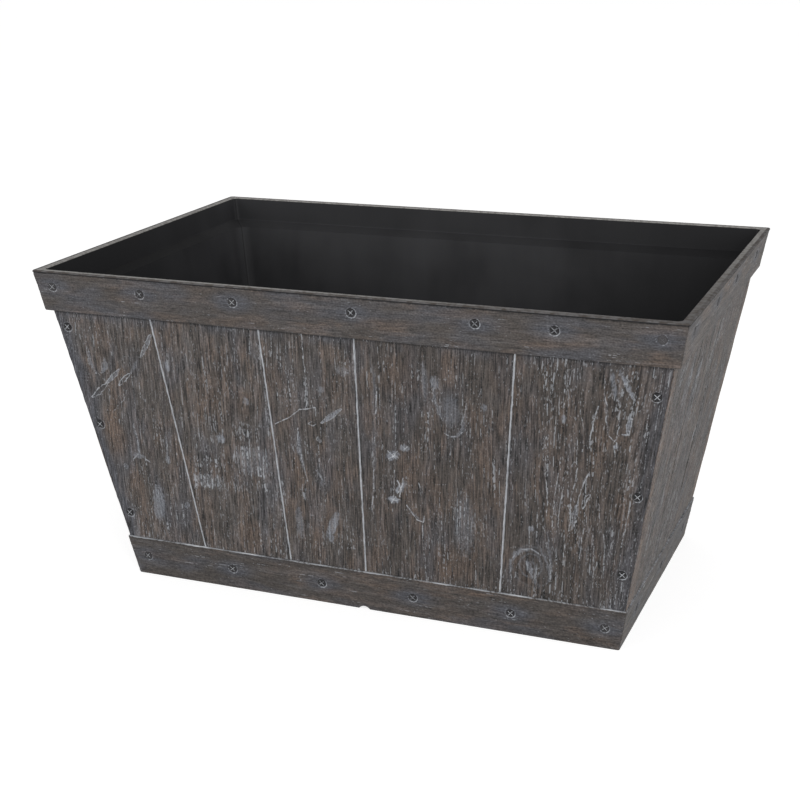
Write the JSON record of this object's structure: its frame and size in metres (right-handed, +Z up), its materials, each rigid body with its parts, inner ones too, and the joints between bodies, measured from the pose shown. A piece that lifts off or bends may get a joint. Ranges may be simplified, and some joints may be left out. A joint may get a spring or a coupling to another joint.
{
  "type": "planter box",
  "caption": "Rectangular planter box with walls that lean out, a dark tub faced with weathered staves between rim and base boards; holds soil and plants, stands on the ground.",
  "frame": {"origin": "middle of the footprint, on the ground under the box", "axes": "+X along the length (the pictured long face looks towards -Y), +Y from front to back, +Z up"},
  "size_m": [0.61, 0.404, 0.32],
  "materials": {
    "tub": "satin, dusty grey on the lip",
    "front_stave_1": "weathered, dry brushed with pale wash",
    "front_stave_2": "weathered, dry brushed with pale wash",
    "front_stave_3": "weathered, dry brushed with pale wash",
    "front_stave_4": "weathered, dry brushed with pale wash",
    "front_stave_5": "weathered, dry brushed with pale wash",
    "back_stave_1": "weathered, dry brushed with pale wash",
    "back_stave_2": "weathered, dry brushed with pale wash",
    "back_stave_3": "weathered, dry brushed with pale wash",
    "back_stave_4": "weathered, dry brushed with pale wash",
    "back_stave_5": "weathered, dry brushed with pale wash",
    "left_stave_1": "weathered, dry brushed with pale wash",
    "left_stave_2": "weathered, dry brushed with pale wash",
    "left_stave_3": "weathered, dry brushed with pale wash",
    "right_stave_1": "weathered, dry brushed with pale wash",
    "right_stave_2": "weathered, dry brushed with pale wash",
    "right_stave_3": "weathered, dry brushed with pale wash",
    "front_rim_board": "weathered, dry brushed with pale wash",
    "back_rim_board": "weathered, dry brushed with pale wash",
    "left_rim_board": "weathered, dry brushed with pale wash",
    "right_rim_board": "weathered, dry brushed with pale wash",
    "front_base_board": "weathered, dry brushed with pale wash",
    "back_base_board": "weathered, dry brushed with pale wash",
    "left_base_board": "weathered, dry brushed with pale wash",
    "right_base_board": "weathered, dry brushed with pale wash",
    "front_rim_screw_1": "dark head, pale wash left in the cross",
    "front_rim_screw_2": "dark head, pale wash left in the cross",
    "front_rim_screw_3": "dark head, pale wash left in the cross",
    "front_rim_screw_4": "dark head, pale wash left in the cross",
    "front_rim_screw_5": "dark head, pale wash left in the cross",
    "front_rim_screw_6": "dark head, pale wash left in the cross",
    "front_rim_screw_7": "dark head, pale wash left in the cross",
    "front_base_screw_1": "dark head, pale wash left in the cross",
    "front_base_screw_2": "dark head, pale wash left in the cross",
    "front_base_screw_3": "dark head, pale wash left in the cross",
    "front_base_screw_4": "dark head, pale wash left in the cross",
    "front_base_screw_5": "dark head, pale wash left in the cross",
    "front_base_screw_6": "dark head, pale wash left in the cross",
    "front_left_edge_screw_1": "dark head, pale wash left in the cross",
    "front_left_edge_screw_2": "dark head, pale wash left in the cross",
    "front_left_edge_screw_3": "dark head, pale wash left in the cross",
    "front_right_edge_screw_1": "dark head, pale wash left in the cross",
    "front_right_edge_screw_2": "dark head, pale wash left in the cross",
    "front_right_edge_screw_3": "dark head, pale wash left in the cross",
    "right_rim_screw_1": "dark head, pale wash left in the cross",
    "right_rim_screw_2": "dark head, pale wash left in the cross",
    "right_rim_screw_3": "dark head, pale wash left in the cross",
    "right_rim_screw_4": "dark head, pale wash left in the cross",
    "right_base_screw_1": "dark head, pale wash left in the cross",
    "right_base_screw_2": "dark head, pale wash left in the cross",
    "right_base_screw_3": "dark head, pale wash left in the cross"
  },
  "bodies": {
    "root": {"tub": "tub", "front_stave_1": "front_stave_1", "front_stave_2": "front_stave_2", "front_stave_3": "front_stave_3", "front_stave_4": "front_stave_4", "front_stave_5": "front_stave_5", "back_stave_1": "back_stave_1", "back_stave_2": "back_stave_2", "back_stave_3": "back_stave_3", "back_stave_4": "back_stave_4", "back_stave_5": "back_stave_5", "left_stave_1": "left_stave_1", "left_stave_2": "left_stave_2", "left_stave_3": "left_stave_3", "right_stave_1": "right_stave_1", "right_stave_2": "right_stave_2", "right_stave_3": "right_stave_3", "front_rim_board": "front_rim_board", "back_rim_board": "back_rim_board", "left_rim_board": "left_rim_board", "right_rim_board": "right_rim_board", "front_base_board": "front_base_board", "back_base_board": "back_base_board", "left_base_board": "left_base_board", "right_base_board": "right_base_board", "front_rim_screw_1": "front_rim_screw_1", "front_rim_screw_2": "front_rim_screw_2", "front_rim_screw_3": "front_rim_screw_3", "front_rim_screw_4": "front_rim_screw_4", "front_rim_screw_5": "front_rim_screw_5", "front_rim_screw_6": "front_rim_screw_6", "front_rim_screw_7": "front_rim_screw_7", "front_base_screw_1": "front_base_screw_1", "front_base_screw_2": "front_base_screw_2", "front_base_screw_3": "front_base_screw_3", "front_base_screw_4": "front_base_screw_4", "front_base_screw_5": "front_base_screw_5", "front_base_screw_6": "front_base_screw_6", "front_left_edge_screw_1": "front_left_edge_screw_1", "front_left_edge_screw_2": "front_left_edge_screw_2", "front_left_edge_screw_3": "front_left_edge_screw_3", "front_right_edge_screw_1": "front_right_edge_screw_1", "front_right_edge_screw_2": "front_right_edge_screw_2", "front_right_edge_screw_3": "front_right_edge_screw_3", "right_rim_screw_1": "right_rim_screw_1", "right_rim_screw_2": "right_rim_screw_2", "right_rim_screw_3": "right_rim_screw_3", "right_rim_screw_4": "right_rim_screw_4", "right_base_screw_1": "right_base_screw_1", "right_base_screw_2": "right_base_screw_2", "right_base_screw_3": "right_base_screw_3"}
  },
  "joints": []
}
